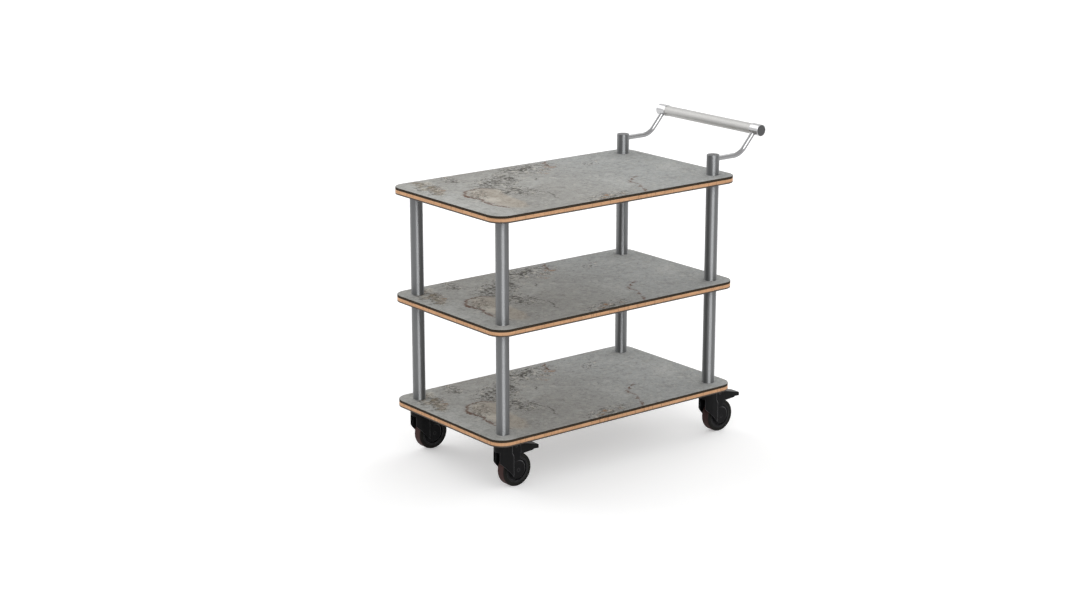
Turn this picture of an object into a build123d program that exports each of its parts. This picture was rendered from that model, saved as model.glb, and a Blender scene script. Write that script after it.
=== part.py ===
from build123d import *
import os
from math import cos, radians, sin, tan

# Buffet cart: three laminated shelves on tube posts, a raised push handle and four braked swivel castors.
# Millimetres, +Z up. z = 0 is the floor, and the origin lies below the middle of the cart's overall box.
# The handle is at the rear, +X. Left is -Y and right is +Y, as whoever pushes the cart sees it.

# Shelves
shelf_length = 900.0
shelf_width = 525.0
shelf_corner_radius = 47.0
deck_thickness = 7.2
deck_edge_chamfer = 0.6
core_thickness = 9.3
backing_thickness = 4.0
shelf_gap = 302.5

# Posts, and the hardware in them that joins the shelves
post_diameter = 38.0
post_wall = 2.0
post_inset = 56.5
post_seat_depth = 3.0
post_seat_clearance = 0.2
thread_diameter = 12.0
thread_clearance = 0.05
bolt_hole_clearance = 0.5
stud_engagement = 20.0
plug_length = 25.0
plug_clearance = 0.05
insert_wall = 5.0
insert_depth = 7.5
insert_clearance = 0.05

# Handle
handle_post_height = 61.0
handle_post_rim_fillet = 1.0
handle_plug_length = 28.0
arm_diameter = 15.0
arm_height = 47.0
arm_bend_radius = 56.0
arm_slope = 48.0
arm_overrun = 6.0
arm_clearance = 0.05
grip_reach = 170.5
grip_rise = 69.5
grip_diameter = 32.0
grip_wall = 2.0
socket_diameter = 36.0
socket_length = 36.0
left_socket_overhang = 26.0
right_socket_overhang = 19.5
socket_edge_fillet = 1.0
spigot_length = 15.0
spigot_clearance = 0.1
end_cap_rim = 1.5
end_cap_thickness = 3.0
end_cap_clearance = 0.05

# Castor wheel
wheel_diameter = 100.0
wheel_width = 30.0
tyre_thickness = 12.0
tyre_shoulder_radius = 4.5
rim_clearance = 0.05
rim_thickness = 5.0
hub_boss_diameter = 28.0
hub_web_thickness = 12.0
axle_diameter = 10.0
axle_clearance = 0.05
bush_wall = 3.0
bush_length = 12.0
bush_flange_width = 3.0
bush_clearance = 0.05
bush_end_play = 0.4

# Castor fork
castor_trail = 39.5
wheel_side_gap = 2.0
hood_radius = 27.5
hood_wall = 3.5
hood_rear = 20.0
hood_drop = 50.5
hood_slope = 47.0
hood_edge_fillet = 3.0
neck_rear = 14.5
neck_height = 28.0
neck_flare = 11.0
leg_wall = 2.5
leg_rear = 8.0
leg_corner_radius = 14.0
boss_wall = 3.5
boss_width = 50.0
boss_rise = 4.5
boss_edge_fillet = 3.0
front_opening_width = 30.0
crown_gap = 13.0
crown_height = 24.0
crown_rear = 20.5

# Castor swivel
swivel_gap = 1.0
flange_thickness = 4.0
flange_diameter = 40.0
kingpin_clearance = 0.05
rivet_head_width = 4.0
rivet_head_height = 3.0
rivet_gap = 0.3
race_diameter = 34.0
race_depth = 6.0
race_clearance = 0.7
ball_diameter = 5.0
ball_play = 0.02
ball_count = 12

# Castor brake
pedal_travel = 8.0
pedal_pivot_setback = 6.0
pedal_pivot_rise = 23.0
pedal_boss_diameter = 18.0
pedal_pin_diameter = 6.0
pedal_pin_clearance = 0.05
pedal_root_gap = 0.5
pedal_root_drop = 3.0
pedal_tyre_gap = 2.0
pedal_cheek_gap = 0.5
pedal_heel = 9.5
pedal_heel_lean = 4.0
pedal_heel_drop = 4.0
pedal_overhang = 27.0
pedal_tip_lift = 0.5
pedal_tip_height = 10.5
pedal_tip_length = 20.5
pedal_tip_step = 2.5
pedal_wall = 2.5
pedal_skirt_gap = 1.0
pedal_corner_radius = 4.0
pedal_edge_fillet = 2.5
shoe_angle = 15.0
shoe_radius = 4.0
shoe_half_width = 12.0
shoe_pressed_gap = 0.5

# Places worked out from the sizes above
post_x = shelf_length / 2 - post_inset
post_y = shelf_width / 2 - post_inset
deck_x = (shelf_length / 2 - post_x - grip_reach - socket_diameter / 2) / 2
corners = {
    "front_left": (deck_x - post_x, -post_y),
    "front_right": (deck_x - post_x, post_y),
    "rear_left": (deck_x + post_x, -post_y),
    "rear_right": (deck_x + post_x, post_y),
}
front_corners = [corners["front_left"], corners["front_right"]]
rear_corners = [corners["rear_left"], corners["rear_right"]]
all_corners = list(corners.values())

wheel_radius = wheel_diameter / 2
crown_bottom = wheel_diameter + crown_gap
crown_top = crown_bottom + crown_height
flange_bottom = crown_top + swivel_gap
castor_height = flange_bottom + flange_thickness
shelf_thickness = deck_thickness + core_thickness + backing_thickness
shelf_pitch = shelf_thickness + shelf_gap
bottom_shelf = castor_height
middle_shelf = bottom_shelf + shelf_pitch
top_shelf = middle_shelf + shelf_pitch
top_deck = top_shelf + shelf_thickness

tube_length = shelf_gap + backing_thickness + post_seat_depth
lower_tube = bottom_shelf + shelf_thickness - post_seat_depth
upper_tube = lower_tube + shelf_pitch
handle_post = top_deck - post_seat_depth

thread_radius = thread_diameter / 2
bolt_hole_radius = thread_radius + bolt_hole_clearance
post_seat_radius = post_diameter / 2 + post_seat_clearance
plug_radius = post_diameter / 2 - post_wall - plug_clearance
insert_radius = thread_radius + insert_wall


def write(piece, name, x=0.0, y=0.0, z=0.0):
    """Sets a piece at its place, labels it and writes its file."""
    placed = Pos(x, y, z) * piece
    placed.label = name
    export_step(placed, f"parts/{name}.step")


# Shelves
def shelf_slab(bottom, thickness):
    """The rounded outline that every layer of a shelf shares."""
    with BuildPart() as slab:
        with BuildSketch(Plane((deck_x, 0, bottom))):
            RectangleRounded(shelf_length, shelf_width, shelf_corner_radius)
        extrude(amount=thickness)
    return slab.part


def shelf_deck(bottom, posts):
    """Laminate deck with an eased edge and a round seat for each post that stands on it."""
    with BuildPart() as deck:
        add(shelf_slab(bottom, deck_thickness))
        chamfer(deck.faces().sort_by(Axis.Z)[-1].edges(), length=deck_edge_chamfer)
        with Locations(*[(x, y, bottom + deck_thickness) for x, y in posts]):
            CounterBoreHole(bolt_hole_radius, post_seat_radius, post_seat_depth)
    return deck.part


def shelf_core(bottom, bolts, inserts):
    """Wood core with through holes for bolts, and blind holes from below for inserts."""
    with BuildPart() as core:
        add(shelf_slab(bottom, core_thickness))
        with Locations(*[(x, y, bottom + core_thickness) for x, y in bolts]):
            Hole(bolt_hole_radius)
        if inserts:
            with BuildSketch(Plane.XY.offset(bottom)):
                with Locations(*inserts):
                    Circle(insert_radius + insert_clearance)
            extrude(amount=insert_depth, mode=Mode.SUBTRACT)
    return core.part


def shelf_backing(bottom, hole_radius):
    """Backing sheet with a round hole at each corner."""
    with BuildPart() as backing:
        add(shelf_slab(bottom, backing_thickness))
        with Locations(*[(x, y, bottom + backing_thickness) for x, y in all_corners]):
            Hole(hole_radius)
    return backing.part


# Posts
def post_tube(length):
    with BuildPart() as tube:
        with BuildSketch():
            Circle(post_diameter / 2)
            Circle(post_diameter / 2 - post_wall, mode=Mode.SUBTRACT)
        extrude(amount=length)
    return tube.part


def post_plugs():
    """Threaded plugs, flush with the tube ends that bear on a shelf."""
    tube_ends = [lower_tube, lower_tube + tube_length - plug_length]
    tube_ends += [upper_tube, upper_tube + tube_length - plug_length]
    places = [(x, y, z) for x, y in all_corners for z in tube_ends]
    places += [(x, y, handle_post) for x, y in rear_corners]
    with BuildPart() as plugs:
        with Locations(*places):
            Cylinder(plug_radius, plug_length, align=(Align.CENTER, Align.CENTER, Align.MIN))
        with Locations(*[(x, y, z + plug_length) for x, y, z in places]):
            Hole(thread_radius + thread_clearance, depth=plug_length)
    return plugs.part


def joining_studs():
    """Studs through the middle shelf at each corner, and through or into the top shelf."""
    seat_span = shelf_thickness - backing_thickness - post_seat_depth
    through_length = seat_span + 2 * stud_engagement
    blind_length = stud_engagement + insert_depth
    middle_start = middle_shelf + backing_thickness - stud_engagement
    top_start = top_shelf + backing_thickness - stud_engagement
    through = [(x, y, middle_start) for x, y in all_corners]
    through += [(x, y, top_start) for x, y in rear_corners]
    with BuildPart() as studs:
        with Locations(*through):
            Cylinder(thread_radius, through_length, align=(Align.CENTER, Align.CENTER, Align.MIN))
        with Locations(*[(x, y, top_start) for x, y in front_corners]):
            Cylinder(thread_radius, blind_length, align=(Align.CENTER, Align.CENTER, Align.MIN))
    return studs.part


def blind_inserts():
    """Threaded sleeves in the top shelf's core, above the front posts."""
    with BuildPart() as inserts:
        with BuildSketch(Plane.XY.offset(top_shelf + backing_thickness)):
            with Locations(*front_corners):
                Circle(insert_radius)
                Circle(thread_radius + thread_clearance, mode=Mode.SUBTRACT)
        extrude(amount=insert_depth)
    return inserts.part


# Handle. The arms lie in the planes of the posts, and the grip runs across, along Y.
arm_z = top_deck + arm_height
post_rear_x = deck_x + post_x
grip_x = post_rear_x + grip_reach
grip_z = arm_z + grip_rise
arm_run = Vector(cos(radians(arm_slope)), 0, sin(radians(arm_slope)))
arm_corner_x = grip_x - grip_rise / tan(radians(arm_slope))
arm_radius = arm_diameter / 2
arm_hole_radius = arm_radius + arm_clearance
arm_end_x = grip_x + arm_overrun * arm_run.X
arm_end_z = grip_z + arm_overrun * arm_run.Z
grip_left_end = post_y + left_socket_overhang - socket_length
grip_right_end = post_y + right_socket_overhang - socket_length
end_cap_radius = socket_diameter / 2 - end_cap_rim


def handle_post_tube():
    """Short post with an eased rim and a hole in its rear wall for the arm."""
    with BuildPart() as post:
        add(post_tube(handle_post_height + post_seat_depth))
        rims = post.faces().sort_by(Axis.Z)[-1].edges().sort_by(SortBy.RADIUS)
        fillet(rims[-1], radius=handle_post_rim_fillet)
        with BuildSketch(Plane((0, 0, arm_z - handle_post), z_dir=(1, 0, 0))):
            Circle(arm_hole_radius)
        extrude(amount=post_diameter, mode=Mode.SUBTRACT)
    return post.part


def handle_post_plugs():
    """Plugs that close the handle posts and hold the arms in cross holes."""
    bottom = top_deck + handle_post_height - handle_plug_length
    with BuildPart() as plugs:
        with BuildSketch(Plane.XY.offset(bottom)):
            with Locations(*rear_corners):
                Circle(plug_radius)
        extrude(amount=handle_plug_length)
        for x, y in rear_corners:
            with BuildSketch(Plane((x - arm_overrun, y, arm_z), z_dir=(1, 0, 0))):
                Circle(arm_hole_radius)
            extrude(amount=post_diameter, mode=Mode.SUBTRACT)
    return plugs.part


def handle_arm():
    """Bent rod from inside a handle post up to the grip's axis."""
    with BuildPart() as arm:
        with BuildLine(Plane.XZ) as path:
            FilletPolyline(
                (post_rear_x - arm_overrun, arm_z),
                (arm_corner_x, arm_z),
                (arm_end_x, arm_end_z),
                radius=arm_bend_radius,
            )
        with BuildSketch(Plane(path.line @ 0, z_dir=path.line % 0)):
            Circle(arm_radius)
        sweep()
    return arm.part


def grip_tube():
    with BuildPart() as grip:
        with BuildSketch(Plane((grip_x, -grip_left_end, grip_z), z_dir=(0, 1, 0))):
            Circle(grip_diameter / 2)
            Circle(grip_diameter / 2 - grip_wall, mode=Mode.SUBTRACT)
        extrude(amount=grip_left_end + grip_right_end)
    return grip.part


def grip_socket(grip_end):
    """Right-hand socket: takes the arm from below, and has a spigot for the grip and a seat for the cap."""
    inner_face = Plane((grip_x, grip_end, grip_z), z_dir=(0, 1, 0))
    with BuildPart() as socket:
        with BuildSketch(inner_face):
            Circle(socket_diameter / 2)
        extrude(amount=socket_length)
        fillet(socket.edges().filter_by(GeomType.CIRCLE), radius=socket_edge_fillet)
        with BuildSketch(inner_face):
            Circle(grip_diameter / 2 - grip_wall - spigot_clearance)
        extrude(amount=-spigot_length)
        with BuildSketch(inner_face.offset(socket_length - end_cap_thickness)):
            Circle(end_cap_radius + end_cap_clearance)
        extrude(amount=end_cap_thickness, mode=Mode.SUBTRACT)
        with BuildSketch(Plane((arm_end_x, post_y, arm_end_z), z_dir=-arm_run)):
            Circle(arm_hole_radius)
        extrude(amount=socket_diameter, mode=Mode.SUBTRACT)
    return socket.part


def handle_end_caps():
    """Discs that close the outer ends of the sockets."""
    with BuildPart() as caps:
        for side, grip_end in ((-1, grip_left_end), (1, grip_right_end)):
            outer_end = side * (grip_end + socket_length)
            with BuildSketch(Plane((grip_x, outer_end, grip_z), z_dir=(0, -side, 0))):
                Circle(end_cap_radius)
            extrude(amount=end_cap_thickness)
    return caps.part


# Castors, each built on its swivel axis with the wheel trailing towards +X and the axle along Y
axle_axis = Axis((castor_trail, 0, wheel_radius), (0, 1, 0))
wheel_plane = Plane((castor_trail, 0, wheel_radius), x_dir=(0, 1, 0), z_dir=(1, 0, 0))
rim_radius = wheel_radius - tyre_thickness
axle_radius = axle_diameter / 2
bush_radius = axle_radius + axle_clearance + bush_wall
fork_gap = wheel_width / 2 + wheel_side_gap
leg_half_width = fork_gap + leg_wall
boss_half_width = fork_gap + boss_wall
leg_end = castor_trail + leg_rear
race_radius = race_diameter / 2
race_floor = crown_top - race_depth
race_face = race_floor + ball_diameter + 2 * ball_play
pedal_pivot_x = castor_trail - pedal_pivot_setback
pedal_pivot_z = wheel_diameter + pedal_pivot_rise


def tyre():
    with BuildPart() as ring:
        with BuildSketch(wheel_plane) as section:
            with Locations((0, wheel_radius - tyre_thickness / 2)):
                Rectangle(wheel_width, tyre_thickness)
            fillet(section.vertices().group_by(Axis.Y)[-1], radius=tyre_shoulder_radius)
        revolve(axis=axle_axis)
    return ring.part


def wheel_hub():
    """Hub with a rim, a thin web and a boss bored for the bushes."""
    bore = bush_radius + bush_clearance
    boss = hub_boss_diameter / 2
    outside = rim_radius - rim_clearance
    with BuildPart() as hub:
        with BuildSketch(wheel_plane):
            with Locations((0, (bore + outside) / 2)):
                Rectangle(hub_web_thickness, outside - bore)
            with Locations((0, (bore + boss) / 2)):
                Rectangle(wheel_width, boss - bore)
            with Locations((0, outside - rim_thickness / 2)):
                Rectangle(wheel_width, rim_thickness)
        revolve(axis=axle_axis)
    return hub.part


def wheel_bushes():
    """Two flanged bushes, one from each side of the hub."""
    flange_end = fork_gap - bush_end_play
    inside = axle_radius + axle_clearance
    with BuildPart() as bushes:
        with BuildSketch(wheel_plane):
            with BuildLine():
                Polyline(
                    (wheel_width / 2 - bush_length, inside),
                    (wheel_width / 2 - bush_length, bush_radius),
                    (wheel_width / 2, bush_radius),
                    (wheel_width / 2, bush_radius + bush_flange_width),
                    (flange_end, bush_radius + bush_flange_width),
                    (flange_end, inside),
                    close=True,
                )
            make_face()
        revolve(axis=axle_axis)
        mirror(about=Plane.XZ)
    return bushes.part


def cross_pin(x, z, radius, half_length):
    """Plain pin across the fork, flush with its outer faces."""
    with BuildPart() as pin:
        with BuildSketch(Plane((x, 0, z), z_dir=(0, 1, 0))):
            Circle(radius)
        extrude(amount=half_length, both=True)
    return pin.part


def axle_boss():
    """Rounded upright boss that thickens both legs over the axle."""
    middle = (castor_trail, 0, wheel_radius + boss_rise / 2)
    with BuildPart() as boss:
        with BuildSketch(Plane(middle, x_dir=(0, 0, 1), z_dir=(0, 1, 0))):
            SlotCenterToCenter(boss_rise, boss_width)
        extrude(amount=boss_half_width, both=True)
        fillet(boss.faces().filter_by(Axis.Y).edges(), radius=boss_edge_fillet)
    return boss.part


def castor_fork():
    """Moulded fork: a hollow round hood below the crown, leg plates behind it and bosses over the axle."""
    hood_knee = crown_top - hood_drop
    hood_tip = hood_knee - (hood_radius + hood_rear) * tan(radians(hood_slope))
    neck_bottom = crown_top - neck_height
    cavity_radius = hood_radius - hood_wall
    cavity_rear = neck_rear - hood_wall
    with BuildPart() as fork:
        # The hood in side view, cut to a round front in plan, with eased top and rear edges
        with BuildSketch(Plane.XZ):
            with BuildLine():
                Polyline(
                    (-hood_radius, crown_top),
                    (neck_rear, crown_top),
                    (neck_rear, neck_bottom),
                    (hood_rear, neck_bottom - neck_flare),
                    (hood_rear, hood_tip),
                    (-hood_radius, hood_knee),
                    close=True,
                )
            make_face()
        extrude(amount=hood_radius, both=True)
        with BuildSketch():
            Circle(hood_radius)
            with Locations((hood_rear / 2, 0)):
                Rectangle(hood_rear, 2 * hood_radius)
        extrude(amount=crown_top, mode=Mode.INTERSECT)
        side_edges = fork.faces().filter_by(Axis.Y).edges()
        rear_edges = side_edges.filter_by_position(Axis.X, neck_rear, hood_rear)
        fillet(fork.faces().sort_by(Axis.Z)[-1].edges() + rear_edges, radius=hood_edge_fillet)
        with BuildSketch():
            Circle(cavity_radius)
            with Locations((cavity_rear / 2, 0)):
                Rectangle(cavity_rear, 2 * cavity_radius)
        extrude(amount=crown_bottom, mode=Mode.SUBTRACT)
        # Leg plates behind the hood, with the bosses over the axle
        with BuildSketch(Plane.XZ) as legs:
            with Locations(((cavity_rear + leg_end) / 2, (wheel_radius + crown_top) / 2)):
                Rectangle(leg_end - cavity_rear, crown_top - wheel_radius)
            fillet(legs.vertices().group_by(Axis.X)[-1].sort_by(Axis.Y)[-1], radius=leg_corner_radius)
        extrude(amount=leg_half_width, both=True)
        add(axle_boss())
        # Room for the wheel, its mouth at the front, and room for the pedal's root behind the crown
        with BuildSketch():
            with Locations(((castor_trail + boss_width) / 2, 0)):
                Rectangle(castor_trail + boss_width, 2 * fork_gap)
            with Locations((-hood_radius / 2, 0)):
                Rectangle(hood_radius, front_opening_width)
        extrude(amount=crown_bottom, mode=Mode.SUBTRACT)
        with BuildSketch(Plane.XY.offset(crown_bottom)):
            with Locations(((crown_rear + leg_end) / 2, 0)):
                Rectangle(leg_end - crown_rear, 2 * fork_gap)
        extrude(amount=crown_height, mode=Mode.SUBTRACT)
        # Kingpin bore with the ball race above it, then the bores of the axle and the pedal's pin
        with Locations(Plane.XY.offset(crown_top)):
            CounterBoreHole(thread_radius + kingpin_clearance, race_radius, race_depth)
        for x, z, radius in (
            (castor_trail, wheel_radius, axle_radius + axle_clearance),
            (pedal_pivot_x, pedal_pivot_z, pedal_pin_diameter / 2 + pedal_pin_clearance),
        ):
            with BuildSketch(Plane((x, 0, z), z_dir=(0, 1, 0))):
                Circle(radius)
            extrude(amount=boss_half_width, both=True, mode=Mode.SUBTRACT)
    return fork.part


def castor_stem():
    """Threaded stem, flange, upper ball race and kingpin, turned in one piece."""
    rivet_top = crown_bottom - rivet_gap
    rivet_bottom = rivet_top - rivet_head_height
    rivet_radius = thread_radius + rivet_head_width
    upper_race = race_radius - race_clearance
    stem_top = lower_tube + stud_engagement
    with BuildPart() as stem:
        with BuildSketch(Plane.XZ):
            with BuildLine():
                Polyline(
                    (0, rivet_bottom),
                    (rivet_radius, rivet_bottom),
                    (rivet_radius, rivet_top),
                    (thread_radius, rivet_top),
                    (thread_radius, race_face),
                    (upper_race, race_face),
                    (upper_race, flange_bottom),
                    (flange_diameter / 2, flange_bottom),
                    (flange_diameter / 2, castor_height),
                    (thread_radius, castor_height),
                    (thread_radius, stem_top),
                    (0, stem_top),
                    close=True,
                )
            make_face()
        revolve(axis=Axis.Z)
    return stem.part


def castor_stems():
    with BuildPart() as stems:
        with Locations(*all_corners):
            add(castor_stem())
    return stems.part


def swivel_balls():
    """A ring of balls in each castor, between the crown and the stem's race."""
    ball_z = race_floor + ball_play + ball_diameter / 2
    with BuildPart() as balls:
        with Locations(*[(x, y, ball_z) for x, y in all_corners]):
            with PolarLocations((thread_radius + race_radius) / 2, ball_count):
                Sphere(ball_diameter / 2)
    return balls.part


def brake_pedal():
    """Hollow pedal on a cross pin, with skirts beside the tyre and a round-nosed shoe that brakes it."""
    boss_radius = pedal_boss_diameter / 2
    root_half_width = fork_gap - pedal_root_gap
    inner_half_width = wheel_width / 2 + pedal_skirt_gap
    pad_half_width = inner_half_width + pedal_wall
    heel_x = castor_trail + pedal_heel
    heel_bottom = wheel_diameter - pedal_heel_drop
    tip_x = castor_trail + wheel_radius + pedal_overhang
    tip_bottom = wheel_diameter + pedal_tip_lift
    tip_top = tip_bottom + pedal_tip_height
    step_x = tip_x - pedal_tip_length
    step_rise = (tip_bottom - heel_bottom) * (step_x - heel_x) / (tip_x - heel_x)
    step_bottom = heel_bottom + step_rise
    root_top = pedal_pivot_z + boss_radius
    root_bottom = wheel_diameter - pedal_root_drop
    top_fall = (root_top - tip_top) / (tip_x - pedal_pivot_x)
    heel_top = root_top - top_fall * (heel_x - pedal_pivot_x)
    # Pressed all the way down, the shoe's nose reaches the tread, but for its gap, and the root clears the
    # tyre. Both places are turned back about the pivot to where the pedal has them at rest.
    pivot = Vector(pedal_pivot_x, 0, pedal_pivot_z)
    nose_reach = wheel_radius + shoe_pressed_gap + shoe_radius
    nose_lean = Vector(sin(radians(shoe_angle)), 0, cos(radians(shoe_angle)))
    from_pivot = axle_axis.position - pivot
    nose = (from_pivot + nose_lean * nose_reach).rotate(Axis.Y, -pedal_travel) + pivot
    tyre_centre = from_pivot.rotate(Axis.Y, -pedal_travel) + pivot
    root_end = nose.X + shoe_radius
    root_end_top = root_top - top_fall * (root_end - pedal_pivot_x)
    with BuildPart() as pedal:
        with BuildSketch(Plane.XZ):
            with BuildLine():
                Polyline(
                    (heel_x + pedal_heel_lean, heel_bottom),
                    (step_x, step_bottom),
                    (step_x, step_bottom + pedal_tip_step),
                    (tip_x, tip_bottom),
                    (tip_x, tip_top),
                    (heel_x, heel_top),
                    close=True,
                )
            make_face()
        extrude(amount=pad_half_width, both=True)
        fillet(pedal.edges().filter_by(Axis.Z).group_by(Axis.X)[-1], radius=pedal_corner_radius)
        pad_top = pedal.faces().sort_by(Axis.Z)[-1]
        fillet(pad_top.edges().sort_by(Axis.X)[1:], radius=pedal_edge_fillet)
        with BuildSketch(Plane.XZ):
            with BuildLine():
                Polyline(
                    (heel_x, 0),
                    (tip_x - pedal_wall, 0),
                    (tip_x - pedal_wall, tip_top - pedal_wall),
                    (heel_x, heel_top - pedal_wall),
                    close=True,
                )
            make_face()
        extrude(amount=inner_half_width, both=True, mode=Mode.SUBTRACT)
        with BuildSketch(Plane.XZ):
            with Locations((pedal_pivot_x, pedal_pivot_z)):
                Circle(boss_radius)
            with BuildLine():
                Polyline(
                    (pedal_pivot_x, root_top),
                    (root_end, root_end_top),
                    (root_end, root_bottom),
                    (pedal_pivot_x, root_bottom),
                    close=True,
                )
            make_face()
        extrude(amount=root_half_width, both=True)
        # Room for the tyre between the root's thin cheeks, then the shoe in it and the pin's bore
        with BuildSketch(Plane(tyre_centre, z_dir=(0, 1, 0))):
            Circle(wheel_radius + pedal_tyre_gap)
        extrude(amount=wheel_width / 2 + pedal_cheek_gap, both=True, mode=Mode.SUBTRACT)
        with BuildSketch(Plane.XZ):
            with Locations((nose.X, nose.Z)):
                Circle(shoe_radius)
            with BuildLine():
                Polyline(
                    (nose.X - shoe_radius, nose.Z),
                    (nose.X - shoe_radius, heel_top - pedal_wall),
                    (nose.X + shoe_radius, heel_top - pedal_wall),
                    (nose.X + shoe_radius, nose.Z),
                    close=True,
                )
            make_face()
        extrude(amount=shoe_half_width, both=True)
        with BuildSketch(Plane(pivot, z_dir=(0, 1, 0))):
            Circle(pedal_pin_diameter / 2 + pedal_pin_clearance)
        extrude(amount=pad_half_width, both=True, mode=Mode.SUBTRACT)
    return pedal.part


os.makedirs("parts", exist_ok=True)

shelves = {
    "bottom": (bottom_shelf, all_corners, [], bolt_hole_radius),
    "middle": (middle_shelf, all_corners, [], post_seat_radius),
    "top": (top_shelf, rear_corners, front_corners, post_seat_radius),
}
for name, (bottom, posts, inserts, backing_hole) in shelves.items():
    core_bottom = bottom + backing_thickness
    write(shelf_backing(bottom, backing_hole), f"{name}_shelf_backing")
    write(shelf_core(core_bottom, posts, inserts), f"{name}_shelf_core")
    write(shelf_deck(core_bottom + core_thickness, posts), f"{name}_shelf_deck")

tube = post_tube(tube_length)
for corner, (x, y) in corners.items():
    write(tube, f"lower_post_{corner}", x, y, lower_tube)
    write(tube, f"upper_post_{corner}", x, y, upper_tube)
write(post_plugs(), "post_plugs")
write(joining_studs(), "joining_studs")
write(blind_inserts(), "blind_inserts")

short_post = handle_post_tube()
arm = handle_arm()
for side, y in (("left", -post_y), ("right", post_y)):
    write(short_post, f"handle_post_{side}", post_rear_x, y, handle_post)
    write(arm, f"handle_arm_{side}", y=y)
write(mirror(grip_socket(grip_left_end), about=Plane.XZ), "grip_socket_left")
write(grip_socket(grip_right_end), "grip_socket_right")
write(grip_tube(), "handle_grip")
write(handle_post_plugs(), "handle_post_plugs")
write(handle_end_caps(), "handle_end_caps")

castor_pieces = {
    "castor_fork": castor_fork(),
    "castor_tyre": tyre(),
    "wheel_hub": wheel_hub(),
    "wheel_bushes": wheel_bushes(),
    "wheel_axle": cross_pin(castor_trail, wheel_radius, axle_radius, boss_half_width),
    "brake_pedal": brake_pedal(),
    "pedal_pin": cross_pin(pedal_pivot_x, pedal_pivot_z, pedal_pin_diameter / 2, leg_half_width),
}
for corner, (x, y) in corners.items():
    for name, piece in castor_pieces.items():
        write(piece, f"{name}_{corner}", x, y)
write(castor_stems(), "castor_stems")
write(swivel_balls(), "swivel_balls")
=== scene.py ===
"""Looks of a three-tier buffet cart: stone-pattern shelves, steel tube posts and handle, black castors."""
from math import radians

import bpy
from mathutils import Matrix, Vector

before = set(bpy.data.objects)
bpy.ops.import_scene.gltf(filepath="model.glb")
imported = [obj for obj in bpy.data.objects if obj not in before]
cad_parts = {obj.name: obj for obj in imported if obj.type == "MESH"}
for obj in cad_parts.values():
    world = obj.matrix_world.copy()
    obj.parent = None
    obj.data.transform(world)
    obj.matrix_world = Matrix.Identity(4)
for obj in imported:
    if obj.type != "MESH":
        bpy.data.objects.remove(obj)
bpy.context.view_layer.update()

# Camera, in metres in the cart's frame.
CAMERA_PLACE = (-3.8737, -4.7138, 2.1140)
CAMERA_BACK = (-0.59594, -0.75721, 0.26735)
CAMERA_LENS = 70.21
SENSOR_WIDTH = 36.0

# Light: a pale dome, brighter towards the horizon and to the right, two broad soft lamps behind the cart,
# and one in front that acts on gloss alone.
DOME_HORIZON = 1.9
DOME_ZENITH = 0.2
DOME_LEAN = 0.15
RIGHTWARD = (0.7857, -0.6186, 0.0)
LAMP_SPREAD = 50.0
LAMP_STRENGTH = 0.7
LAMP_SIDES = {"side_lamp": (3.4, 0.8, 1.7), "far_lamp": (-0.8, 3.4, 1.7)}
GLOSS_SIDE = (-0.362, -0.932, 0.364)
GLOSS_STRENGTH = 3.4
FLOOR_HALF = 40.0
FLOOR_TONE = 0.93
FLOOR_HAZE = 0.006
FLOOR_GLOW = 0.31

# Sockets of a mix node, for colours and for plain numbers.
MIX_FACTOR, MIX_A, MIX_B, MIX_COLOUR = 0, 6, 7, 2
MIX_LOW, MIX_HIGH = 2, 3

MID_GREY = (0.5, 0.5, 0.5)
QUARTER_TURN = 0.25
EDGE_SAMPLES = 6


def srgb(red, green, blue):
    """Linear colour of an sRGB triple in 0 to 255."""
    def linear(value):
        share = value / 255
        return share / 12.92 if share <= 0.04045 else ((share + 0.055) / 1.055) ** 2.4
    return (linear(red), linear(green), linear(blue), 1.0)


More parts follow.
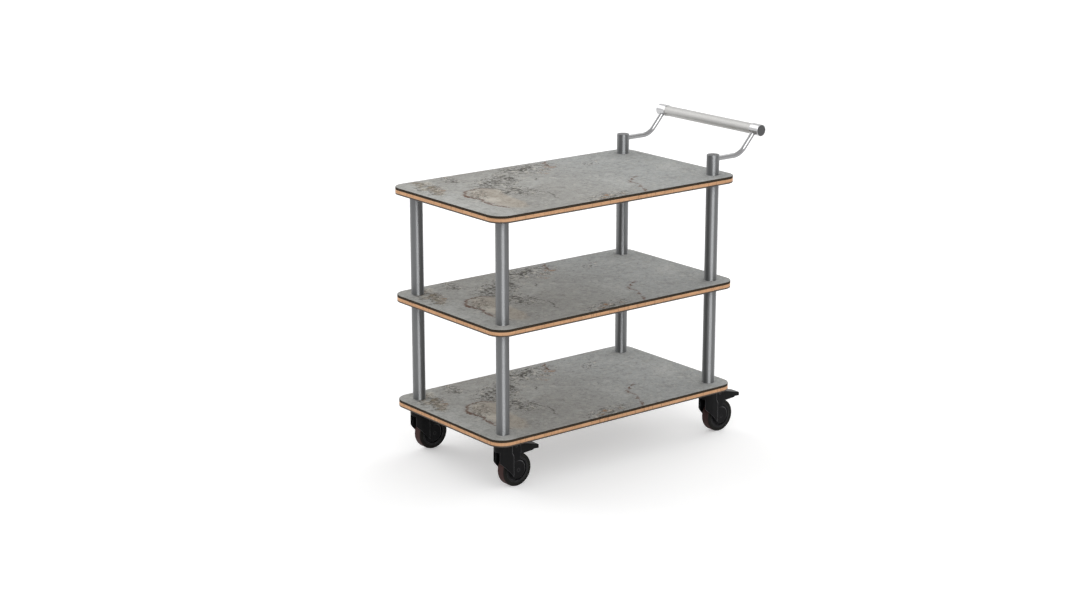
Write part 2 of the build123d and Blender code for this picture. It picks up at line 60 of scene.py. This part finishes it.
class Nodes:
    """Adds nodes to a tree. Each method returns the new node's output socket."""

    def __init__(self, tree):
        self.tree = tree

    def feed(self, socket, value):
        """Links a socket to another one, or sets its plain value."""
        if isinstance(value, bpy.types.NodeSocket):
            self.tree.links.new(value, socket)
        else:
            socket.default_value = value

    def add(self, kind, inputs, output=0, **settings):
        """A node of that kind, with its settings and inputs."""
        node = self.tree.nodes.new(kind)
        for name, value in settings.items():
            setattr(node, name, value)
        for key, value in inputs.items():
            self.feed(node.inputs[key], value)
        return node.outputs[output]

    def math(self, operation, first, second=0.0):
        return self.add("ShaderNodeMath", {0: first, 1: second}, operation=operation)

    def vector(self, operation, first, second, output=0):
        return self.add("ShaderNodeVectorMath", {0: first, 1: second}, output, operation=operation)

    def smooth(self, value, low, high):
        """0 below low, 1 above high, with a soft step between; high may be the lower one."""
        ends = {"From Min": min(low, high), "From Max": max(low, high)}
        aims = {"To Min": float(low > high), "To Max": float(low <= high)}
        return self.add("ShaderNodeMapRange", {"Value": value, **ends, **aims},
                        interpolation_type="SMOOTHSTEP")

    def span(self, value, low, high):
        """A 0 to 1 value spread between two numbers."""
        return self.add("ShaderNodeMapRange", {"Value": value, "To Min": low, "To Max": high})

    def mix(self, factor, first, second):
        inputs = {MIX_FACTOR: factor, MIX_A: first, MIX_B: second}
        return self.add("ShaderNodeMix", inputs, MIX_COLOUR, data_type="RGBA")

    def noise(self, place, scale, detail=3.0, roughness=0.55, distortion=0.0, output=0):
        inputs = {"Vector": place, "Scale": scale, "Detail": detail, "Roughness": roughness}
        return self.add("ShaderNodeTexNoise", {**inputs, "Distortion": distortion}, output)

    def lay(self, colour, mask, over, share):
        """A colour with another laid over it where the mask says."""
        return self.mix(self.math("MULTIPLY", mask, share), colour, over)

    def in_view(self):
        """1 for rays from the camera, off gloss or through glass, and 0 for rays of diffuse light."""
        ways = self.tree.nodes.new("ShaderNodeLightPath").outputs
        return self.highest([ways["Is Camera Ray"], ways["Is Glossy Ray"], ways["Is Transmission Ray"]])

    def highest(self, values):
        """The largest of several values."""
        result = values[0]
        for value in values[1:]:
            result = self.math("MAXIMUM", result, value)
        return result


class Surface(Nodes):
    """A procedural material on one principled shader."""

    def __init__(self, name, constants):
        self.material = bpy.data.materials.new(name)
        self.material.use_nodes = True
        super().__init__(self.material.node_tree)
        self.shader = self.tree.nodes["Principled BSDF"]
        self.place = self.add("ShaderNodeTexCoord", {}, "Object")
        for socket, value in constants.items():
            self.shade(socket, value)

    def shade(self, name, value):
        """Sets or links an input of the shader."""
        self.feed(self.shader.inputs[name], value)

    def stretch(self, x, y, z):
        """Object coordinates, scaled by axis."""
        return self.vector("MULTIPLY", self.place, (x, y, z))

    def bump(self, height, distance):
        """Relief of that depth, in metres, from a 0 to 1 height."""
        inputs = {"Height": height, "Distance": distance, "Strength": 1.0}
        self.shade("Normal", self.add("ShaderNodeBump", inputs))

    def edges(self, radius, low, high):
        """0 on flat faces and 1 along edges, within that radius in metres."""
        rounded = self.add("ShaderNodeBevel", {"Radius": radius}, samples=EDGE_SAMPLES)
        straight = self.add("ShaderNodeNewGeometry", {}, "Normal")
        return self.smooth(self.vector("DOT_PRODUCT", rounded, straight, "Value"), low, high)

    def own_normal(self):
        """The surface's direction in the piece's own axes."""
        return self.add("ShaderNodeTexCoord", {}, "Normal")

    def sideways(self, normal):
        """How far a direction leans along the wheel's axle, either way."""
        return self.math("ABSOLUTE", self.add("ShaderNodeSeparateXYZ", {"Vector": normal}, "Y"))


# Marks of the stone pattern on a deck: x, y, half length, half width in metres and turn in degrees.
PATCH = ((-0.360, 0.000, 0.080, 0.072, 70), (-0.372, -0.100, 0.138, 0.058, 85))
PATCH_RIM = ((-0.405, 0.025, 0.085, 0.060, 50), (-0.335, 0.062, 0.070, 0.030, 0),
             (-0.430, -0.130, 0.150, 0.030, 85))
CREAM = ((-0.392, -0.060, 0.060, 0.030, 82), (-0.306, 0.012, 0.042, 0.013, 80),
         (-0.410, 0.222, 0.035, 0.022, 60))
RUST = ((0.020, 0.205, 0.040, 0.006, 73), (0.036, 0.238, 0.036, 0.006, 45),
        (0.072, -0.124, 0.026, 0.007, 50), (0.100, -0.104, 0.028, 0.008, 34),
        (0.132, -0.084, 0.024, 0.005, 30), (0.064, -0.155, 0.034, 0.005, 96),
        (0.052, -0.198, 0.034, 0.006, 72), (0.028, -0.236, 0.036, 0.011, 50))
SPECKS = ((-0.116, -0.243, 0.050, 0.016, 20), (-0.060, -0.232, 0.040, 0.014, 35),
          (-0.036, 0.140, 0.050, 0.030, 40), (0.010, 0.180, 0.040, 0.024, 50),
          (-0.438, 0.120, 0.070, 0.030, 70))
BROWN = ((-0.446, 0.165, 0.110, 0.036, 78), (-0.455, 0.105, 0.060, 0.030, 65),
         (-0.440, 0.225, 0.040, 0.040, 60))
DARK = ((-0.275, 0.112, 0.060, 0.013, 20), (-0.240, 0.104, 0.060, 0.014, 38),
        (-0.188, 0.105, 0.050, 0.016, 60), (-0.185, 0.150, 0.044, 0.010, 30),
        (-0.300, 0.036, 0.040, 0.008, 99), (-0.290, 0.085, 0.036, 0.010, -48),
        (-0.258, 0.004, 0.036, 0.014, 50), (-0.268, -0.042, 0.040, 0.014, 56),
        (-0.296, -0.022, 0.030, 0.010, 40), (-0.217, -0.060, 0.060, 0.005, 96),
        (-0.220, -0.128, 0.050, 0.005, 82), (-0.101, 0.222, 0.046, 0.014, -45),
        (-0.072, 0.200, 0.042, 0.014, 40), (-0.040, 0.214, 0.036, 0.012, 60),
        (-0.120, 0.072, 0.026, 0.006, 50), (0.150, 0.150, 0.040, 0.005, 27),
        (-0.336, 0.205, 0.046, 0.006, 80))
CRACKLED = ((-0.235, 0.115, 0.130, 0.080, 25), (-0.262, -0.022, 0.085, 0.065, 60),
            (-0.060, 0.200, 0.140, 0.075, 10), (-0.450, 0.150, 0.120, 0.055, 75),
            (-0.100, -0.238, 0.120, 0.040, 10), (-0.390, 0.000, 0.090, 0.040, 60),
            (-0.336, 0.215, 0.060, 0.030, 80), (0.150, 0.150, 0.060, 0.030, 30))

DECK_GREY = srgb(168, 167, 163)
DECK_PALE = srgb(194, 195, 192)
DECK_BLUE = srgb(174, 176, 175)
DECK_DIM = srgb(142, 141, 136)
DECK_BEIGE = srgb(189, 175, 157)
DECK_CREAM = srgb(214, 209, 198)
DECK_BROWN = srgb(136, 118, 88)
DECK_RUST = srgb(104, 70, 52)
DECK_ORANGE = srgb(158, 120, 88)
DECK_DARK = srgb(74, 71, 66)
LAMINATE_EDGE = srgb(54, 47, 39)
LAMINATE_WORN = srgb(76, 67, 56)
DECK_GLOSS = 0.02
DECK_RELIEF = 0.00012
# How far, in metres, the outlines of the marks wander, in wide bends and in small ones.
DECK_SWAY = (0.05, 0.05, 0)
DECK_RIPPLE = (0.03, 0.03, 0)


def stone_laminate():
    """Laminate with a rusty grey stone pattern on top and a dark cut edge."""
    deck = Surface("stone_laminate", {"Specular IOR Level": DECK_GLOSS})
    flat = deck.stretch(1, 1, 0)
    coarse = deck.noise(flat, 11, 2, output="Color")
    fine = deck.noise(flat, 75, 4, 0.6, output="Color")
    sway = deck.vector("MULTIPLY", deck.vector("SUBTRACT", coarse, MID_GREY), DECK_SWAY)
    ripple = deck.vector("MULTIPLY", deck.vector("SUBTRACT", fine, MID_GREY), DECK_RIPPLE)
    warped = deck.vector("ADD", deck.vector("ADD", flat, sway), ripple)

    def field(places):
        """1 at the middle of each mark, falling to 0 at its rim."""
        shapes = []
        for x, y, length, width, turn in places:
            inputs = {"Vector": warped, "Location": (x, y, 0), "Rotation": (0, 0, radians(turn)),
                      "Scale": (length, width, 1)}
            local = deck.add("ShaderNodeMapping", inputs, vector_type="TEXTURE")
            shapes.append(deck.add("ShaderNodeTexGradient", {"Vector": local}, "Fac",
                                   gradient_type="SPHERICAL"))
        return deck.highest(shapes)

    def near(value, middle, reach):
        """1 where a value is at the middle, falling to 0 that far from it."""
        away = deck.math("ABSOLUTE", deck.math("SUBTRACT", value, middle))
        return deck.smooth(away, reach, 0.0)

    clouds = deck.noise(flat, 5, 4, 0.6, 0.4)
    mottle = deck.noise(warped, 34, 6, 0.72)
    blotch = deck.noise(warped, 62, 6, 0.8)
    grain = deck.noise(flat, 420, 3, 0.7)
    flaws = deck.noise(flat, 95, 4, 0.7)
    broken = deck.smooth(flaws, 0.38, 0.56)
    lengthwise = deck.add("ShaderNodeSeparateXYZ", {"Vector": deck.place}, "X")
    colour = deck.mix(deck.smooth(lengthwise, -0.2, 0.2), DECK_GREY, DECK_BLUE)
    colour = deck.lay(colour, deck.smooth(lengthwise, -0.36, -0.5), DECK_PALE, 0.7)
    colour = deck.lay(colour, deck.smooth(clouds, 0.5, 0.72), DECK_PALE, 0.6)
    colour = deck.lay(colour, deck.smooth(clouds, 0.46, 0.28), DECK_DIM, 0.45)
    colour = deck.lay(colour, deck.smooth(mottle, 0.52, 0.70), DECK_PALE, 0.6)
    colour = deck.lay(colour, deck.smooth(mottle, 0.48, 0.30), DECK_DIM, 0.6)

    patch = field(PATCH)
    colour = deck.lay(colour, deck.smooth(patch, 0.1, 0.4), DECK_BEIGE, 0.5)
    colour = deck.lay(colour, deck.smooth(field(CREAM), 0.05, 0.6), DECK_CREAM, 0.6)
    stains = deck.math("MULTIPLY", deck.smooth(field(BROWN), 0.0, 0.6), deck.smooth(mottle, 0.60, 0.42))
    colour = deck.lay(colour, stains, DECK_BROWN, 0.7)

    crowded = deck.span(deck.smooth(field(CRACKLED), 0.0, 0.4), 0.36, 1.0)
    pale_spots = deck.math("MULTIPLY", deck.smooth(blotch, 0.51, 0.62), crowded)
    colour = deck.lay(colour, pale_spots, DECK_CREAM, 0.95)
    dark_spots = deck.math("MULTIPLY", deck.smooth(blotch, 0.44, 0.33), crowded)
    colour = deck.lay(colour, dark_spots, DECK_DARK, 0.6)
    webs = deck.highest([near(deck.noise(warped, 16, 5, 0.62, 0.5), 0.5, 0.03),
                         near(deck.noise(warped, 40, 5, 0.66, 0.5), 0.5, 0.042)])
    cracks = deck.math("MULTIPLY", deck.math("MULTIPLY", webs, broken), crowded)
    colour = deck.lay(colour, cracks, DECK_DARK, 0.9)
    dark = deck.math("MULTIPLY", deck.smooth(field(DARK), 0.0, 0.5), broken)
    colour = deck.lay(colour, dark, DECK_DARK, 0.85)
    specks = deck.math("MULTIPLY", deck.smooth(field(SPECKS), 0.0, 0.5), deck.smooth(mottle, 0.50, 0.62))
    colour = deck.lay(colour, specks, DECK_ORANGE, 0.8)
    rims = deck.math("MULTIPLY", near(patch, 0.13, 0.12), deck.smooth(field(PATCH_RIM), 0.0, 0.5))
    rims = deck.math("MULTIPLY", rims, deck.smooth(flaws, 0.30, 0.46))
    rust = deck.math("MULTIPLY", deck.smooth(field(RUST), 0.05, 0.7), broken)
    colour = deck.lay(colour, deck.math("MAXIMUM", rims, rust), DECK_RUST, 0.85)
    colour = deck.mix(deck.span(grain, 0.0, 0.16), colour, DECK_DARK)

    normal = deck.add("ShaderNodeNewGeometry", {}, "Normal")
    upward = deck.add("ShaderNodeSeparateXYZ", {"Vector": normal}, "Z")
    scuffs = deck.noise(deck.stretch(60, 60, 500), 1, 3, 0.6)
    rim = deck.mix(deck.smooth(scuffs, 0.5, 0.8), LAMINATE_EDGE, LAMINATE_WORN)
    deck.shade("Base Color", deck.mix(deck.smooth(upward, 0.8, 0.95), rim, colour))
    deck.shade("Roughness", deck.span(mottle, 0.52, 0.74))
    relief = deck.math("ADD", deck.math("MULTIPLY", grain, 0.4), mottle)
    deck.bump(deck.math("SUBTRACT", relief, deck.math("ADD", cracks, dark)), DECK_RELIEF)
    return deck.material


WOOD_LIGHT = srgb(205, 159, 119)
WOOD_MID = srgb(182, 136, 97)
WOOD_DARK = srgb(122, 86, 58)
WOOD_BLOCK = 0.034
WOOD_GLOSS = 0.3
WOOD_RELIEF = 0.0002


def wood_core():
    """Light wood, cut in blocks along the edge, with streaks along each block."""
    wood = Surface("wood_core", {"Specular IOR Level": WOOD_GLOSS})
    lengthwise = wood.add("ShaderNodeSeparateXYZ", {"Vector": wood.place}, "X")
    across = wood.add("ShaderNodeSeparateXYZ", {"Vector": wood.place}, "Y")
    along = wood.math("DIVIDE", wood.math("ADD", lengthwise, across), WOOD_BLOCK)
    along = wood.math("ADD", along, wood.math("MULTIPLY", wood.noise(wood.place, 40, 1), 0.25))
    block = wood.math("FLOOR", along)
    tone = wood.add("ShaderNodeTexWhiteNoise", {"W": block}, "Value", noise_dimensions="1D")
    seam_end = wood.math("PINGPONG", along, 0.5)
    seams = wood.math("MULTIPLY", wood.smooth(seam_end, 0.05, 0.0), wood.smooth(tone, 0.35, 0.5))
    streak_place = wood.add("ShaderNodeCombineXYZ", {"X": wood.math("MULTIPLY", along, 0.35),
                                                     "Y": wood.math("MULTIPLY", block, 3.7)})
    level = wood.vector("ADD", streak_place, wood.stretch(0, 0, 330))
    streaks = wood.noise(level, 1.0, 5, 0.65, 0.3)
    pores = wood.noise(wood.stretch(900, 900, 2400), 1, 2)
    fibres = wood.noise(wood.stretch(210, 210, 30), 1, 3, 0.6)
    colour = wood.mix(wood.smooth(streaks, 0.32, 0.66), WOOD_MID, WOOD_LIGHT)
    colour = wood.lay(colour, wood.smooth(tone, 0.3, 1.0), WOOD_MID, 0.35)
    colour = wood.lay(colour, wood.smooth(streaks, 0.40, 0.24), WOOD_DARK, 0.7)
    colour = wood.lay(colour, wood.smooth(pores, 0.62, 0.8), WOOD_DARK, 0.5)
    colour = wood.lay(colour, wood.smooth(fibres, 0.54, 0.72), WOOD_DARK, 0.55)
    colour = wood.lay(colour, seams, WOOD_DARK, 0.85)
    wood.shade("Base Color", colour)
    wood.shade("Roughness", wood.span(streaks, 0.48, 0.66))
    wood.bump(wood.math("SUBTRACT", streaks, seams), WOOD_RELIEF)
    return wood.material


BACKING_DARK = srgb(58, 47, 37)
BACKING_WORN = srgb(78, 65, 52)
BACKING_GLOSS = 0.4
BACKING_RELIEF = 0.00006


def dark_backing():
    """Dark laminate under a shelf, with a fine orange-peel skin and faint scuffs."""
    back = Surface("dark_backing", {"Specular IOR Level": BACKING_GLOSS})
    skin = back.noise(back.place, 900, 2)
    scuffs = back.noise(back.stretch(30, 8, 30), 1, 4, 0.65)
    colour = back.mix(back.smooth(scuffs, 0.52, 0.78), BACKING_DARK, BACKING_WORN)
    back.shade("Base Color", colour)
    back.shade("Roughness", back.span(scuffs, 0.42, 0.62))
    back.bump(skin, BACKING_RELIEF)
    return back.material


DRAWN_RELIEF = 0.000012
GRAIN_CONTRAST = 0.85


def drawn_steel(name, colour, stretch, roughness, contrast, spread=0.0):
    """Steel with fine lines along the axis that stretch scales least; spread draws its highlights out."""
    constants = {"Metallic": 1.0, "Anisotropic": spread, "Anisotropic Rotation": QUARTER_TURN}
    steel = Surface(name, constants)
    lines = steel.noise(steel.stretch(*stretch), 1, 3, 0.6)
    haze = steel.noise(steel.place, 14, 3)
    dim = tuple(part * contrast for part in colour[:3]) + (1.0,)
    tone = steel.mix(steel.smooth(lines, 0.3, 0.7), dim, colour)
    steel.shade("Base Color", steel.mix(steel.span(haze, 0.0, 0.3), tone, dim))
    uneven = steel.math("ADD", lines, steel.math("MULTIPLY", haze, 0.5))
    steel.shade("Roughness", steel.span(uneven, *roughness))
    steel.bump(lines, DRAWN_RELIEF)
    return steel.material


def grained_steel(name, colour, scale, roughness, relief):
    """Blasted or plated steel with a fine even grain."""
    steel = Surface(name, {"Metallic": 1.0})
    grain = steel.noise(steel.place, scale, 2, 0.6)
    haze = steel.noise(steel.place, 22, 3)
    dim = tuple(part * GRAIN_CONTRAST for part in colour[:3]) + (1.0,)
    steel.shade("Base Color", steel.mix(steel.smooth(grain, 0.35, 0.65), dim, colour))
    steel.shade("Roughness", steel.span(haze, *roughness))
    steel.bump(grain, relief)
    return steel.material


# Edges of moulded plastic are laid lighter: partly rubbed wear, partly a painted highlight.
RUBBED_AND_GLINT_TONE = srgb(74, 74, 76)
RUBBED_AND_GLINT_REACH = 0.0025
# Colour of the painted highlight laid on rounded corners that face back and up.
PAINTED_HIGHLIGHT_TONE = srgb(98, 98, 100)
PLASTIC_GLOSS = 0.06
PLASTIC_RELIEF = 0.00004
# The way the fork's rounded corners face where a highlight is painted on them, in its own axes: back and
# up, and as much to either side.
HIGHLIGHT_FACING = (0.566, 0.0, 0.424)
SIDEWAYS_SHARE = 0.707
# How near, in metres, other surfaces keep a corner from getting the painted highlight.
NOOK_REACH = 0.03


def painted_corner_highlight(plastic):
    """Mask of a painted highlight: 1 on open rounded corners that face back, up and to a side, and 0
    elsewhere.
    """
    normal = plastic.own_normal()
    slant = plastic.math("ADD", plastic.vector("DOT_PRODUCT", normal, HIGHLIGHT_FACING, "Value"),
                         plastic.math("MULTIPLY", plastic.sideways(normal), SIDEWAYS_SHARE))
    clear = plastic.add("ShaderNodeAmbientOcclusion", {"Distance": NOOK_REACH}, "AO", samples=EDGE_SAMPLES)
    return plastic.math("MULTIPLY", plastic.smooth(slant, 0.74, 0.90), plastic.smooth(clear, 0.45, 0.7))


def moulded_plastic(name, dark, worn, roughness, rubbed_and_glint_tone=RUBBED_AND_GLINT_TONE, corner_highlight_share=0.0):
    """Moulded plastic with a fine skin, lighter along edges as wear and as a painted highlight, and, by a
    share, with a painted highlight on rounded corners.
    """
    plastic = Surface(name, {"Specular IOR Level": PLASTIC_GLOSS})
    skin = plastic.noise(plastic.place, 1500, 2)
    dust = plastic.noise(plastic.place, 60, 4, 0.65)
    # Lighter edges, partly rubbed wear and partly a painted highlight.
    edges = plastic.edges(RUBBED_AND_GLINT_REACH, 0.98, 0.82)
    rubbed_and_glint = plastic.math("MULTIPLY", edges, plastic.smooth(dust, 0.30, 0.55))
    colour = plastic.mix(plastic.span(dust, 0.0, 0.35), dark, worn)
    colour = plastic.mix(rubbed_and_glint, colour, rubbed_and_glint_tone)
    if corner_highlight_share:
        # Painted highlight on the rounded corners that face back and up.
        colour = plastic.lay(colour, painted_corner_highlight(plastic), PAINTED_HIGHLIGHT_TONE, corner_highlight_share)
    plastic.shade("Base Color", colour)
    plastic.shade("Roughness", plastic.span(dust, *roughness))
    plastic.bump(skin, PLASTIC_RELIEF)
    return plastic.material


TREAD_DARK = srgb(58, 38, 37)
TREAD_DUSTY = srgb(70, 54, 52)
SHOULDER_DARK = srgb(24, 24, 22)
SHOULDER_DUSTY = srgb(38, 37, 35)
TYRE_GLOSS = 0.06
TYRE_RELIEF = 0.00005


def tyre_rubber():
    """Dark rubber, reddish and rolled smooth on the tread, dusty in the shoulders."""
    tyre = Surface("tyre", {"Specular IOR Level": TYRE_GLOSS})
    sideways = tyre.sideways(tyre.own_normal())
    dust = tyre.noise(tyre.place, 90, 4, 0.65)
    skin = tyre.noise(tyre.place, 1100, 2)
    tread = tyre.mix(tyre.span(dust, 0.0, 0.6), TREAD_DARK, TREAD_DUSTY)
    side = tyre.mix(tyre.span(dust, 0.0, 0.5), SHOULDER_DARK, SHOULDER_DUSTY)
    tyre.shade("Base Color", tyre.mix(tyre.smooth(sideways, 0.35, 0.8), tread, side))
    tyre.shade("Roughness", tyre.span(dust, 0.42, 0.62))
    tyre.bump(skin, TYRE_RELIEF)
    return tyre.material


FINISHES = {
    "shelf_deck": stone_laminate(),
    "shelf_core": wood_core(),
    "shelf_backing": dark_backing(),
    "lower_post": drawn_steel("post_steel", srgb(117, 118, 119), (1400, 1400, 14), (0.36, 0.46), 0.94,
                              spread=0.9),
    "handle_grip": grained_steel("grip_steel", srgb(186, 185, 183), 1300, (0.46, 0.54), relief=0.00003),
    "handle_arm": drawn_steel("bright_steel", srgb(146, 146, 147), (30, 1500, 1500), (0.10, 0.18), 0.96),
    "grip_socket": drawn_steel("socket_steel", srgb(188, 188, 189), (1500, 30, 1500), (0.10, 0.18), 0.96),
    "handle_post_plugs": grained_steel("cap_steel", srgb(88, 88, 89), 900, (0.32, 0.42), relief=0.00002),
    # The fork's plastic carries the painted corner highlight.
    "castor_fork": moulded_plastic("castor_plastic", srgb(17, 17, 18), srgb(38, 38, 39), (0.26, 0.38),
                                   corner_highlight_share=0.8),
    "brake_pedal": moulded_plastic("pedal_plastic", srgb(18, 19, 19), srgb(39, 40, 40), (0.28, 0.40)),
    "castor_tyre": tyre_rubber(),
    "wheel_hub": moulded_plastic("hub_plastic", srgb(28, 28, 29), srgb(56, 56, 57), (0.38, 0.52)),
    "wheel_bushes": moulded_plastic("bush_plastic", srgb(196, 192, 182), srgb(168, 163, 152), (0.36, 0.5),
                                    rubbed_and_glint_tone=srgb(206, 203, 196)),
    "wheel_axle": moulded_plastic("black_pin", srgb(17, 17, 18), srgb(38, 38, 39), (0.30, 0.42)),
    "post_plugs": grained_steel("hardware", srgb(176, 178, 181), 1200, (0.28, 0.42), relief=0.00002),
}
SAME_FINISH = {"upper_post": "lower_post", "handle_post": "lower_post",
               "handle_end_caps": "handle_post_plugs", "pedal_pin": "wheel_axle",
               "joining_studs": "post_plugs", "blind_inserts": "post_plugs",
               "castor_stems": "post_plugs", "swivel_balls": "post_plugs"}


def finish_of(name):
    """The material of a CAD node, by the longest known word in its name."""
    words = [word for word in (*FINISHES, *SAME_FINISH) if word in name]
    word = max(words, key=len)
    return FINISHES[SAME_FINISH.get(word, word)]


for name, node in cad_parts.items():
    node.data.materials.clear()
    node.data.materials.append(finish_of(name))


def floor():
    """A plain pale floor, brighter to the eye and in mirrors than the light makes it."""
    half = FLOOR_HALF
    mesh = bpy.data.meshes.new("floor")
    corners = [(-half, -half, 0), (half, -half, 0), (half, half, 0), (-half, half, 0)]
    mesh.from_pydata(corners, [], [(0, 1, 2, 3)])
    plane = bpy.data.objects.new("floor", mesh)
    bpy.context.scene.collection.objects.link(plane)
    paper = Surface("floor_paper", {"Specular IOR Level": 0.0, "Roughness": 1.0})
    haze = paper.noise(paper.place, 1.5, 2)
    low, high = FLOOR_TONE - FLOOR_HAZE, FLOOR_TONE + FLOOR_HAZE
    paper.shade("Base Color", paper.mix(haze, (low, low, low, 1), (high, high, high, 1)))
    paper.shade("Emission Color", (1, 1, 1, 1))
    paper.shade("Emission Strength", paper.math("MULTIPLY", paper.in_view(), FLOOR_GLOW))
    mesh.materials.append(paper.material)


def studio():
    """The dome that lights the cart, and the plain white background that the eye and mirrors see."""
    world = bpy.data.worlds.new("studio")
    bpy.context.scene.world = world
    world.use_nodes = True
    sky = Nodes(world.node_tree)
    background = world.node_tree.nodes["Background"]
    background.inputs["Color"].default_value = (1, 1, 1, 1)
    outward = sky.add("ShaderNodeTexCoord", {}, "Generated")
    height = sky.add("ShaderNodeSeparateXYZ", {"Vector": outward}, "Z")
    rightward = sky.vector("DOT_PRODUCT", outward, RIGHTWARD, "Value")
    dome = sky.span(height, DOME_HORIZON, DOME_ZENITH)
    lean = sky.math("ADD", sky.math("MULTIPLY", rightward, DOME_LEAN), 1.0)
    dome = sky.math("MULTIPLY", dome, lean)
    inputs = {MIX_FACTOR: sky.in_view(), MIX_LOW: dome, MIX_HIGH: 1.0}
    sky.feed(background.inputs["Strength"], sky.add("ShaderNodeMix", inputs))


def soft_lamp(name, side, strength):
    """A broad even lamp that shines from that side."""
    data = bpy.data.lights.new(name, "SUN")
    data.angle = radians(LAMP_SPREAD)
    data.energy = strength
    lamp = bpy.data.objects.new(name, data)
    lamp.rotation_euler = (-Vector(side)).to_track_quat("-Z", "Y").to_euler()
    bpy.context.scene.collection.objects.link(lamp)
    return lamp


def camera():
    """The photograph's view."""
    data = bpy.data.cameras.new("camera")
    data.sensor_width = SENSOR_WIDTH
    data.lens = CAMERA_LENS
    viewer = bpy.data.objects.new("camera", data)
    viewer.location = CAMERA_PLACE
    viewer.rotation_euler = (-Vector(CAMERA_BACK)).to_track_quat("-Z", "Y").to_euler()
    bpy.context.scene.collection.objects.link(viewer)
    bpy.context.scene.camera = viewer


floor()
studio()
for lamp_name, lamp_side in LAMP_SIDES.items():
    soft_lamp(lamp_name, lamp_side, LAMP_STRENGTH)
soft_lamp("gloss_lamp", GLOSS_SIDE, GLOSS_STRENGTH).visible_diffuse = False
camera()
bpy.context.scene.view_settings.view_transform = "Standard"
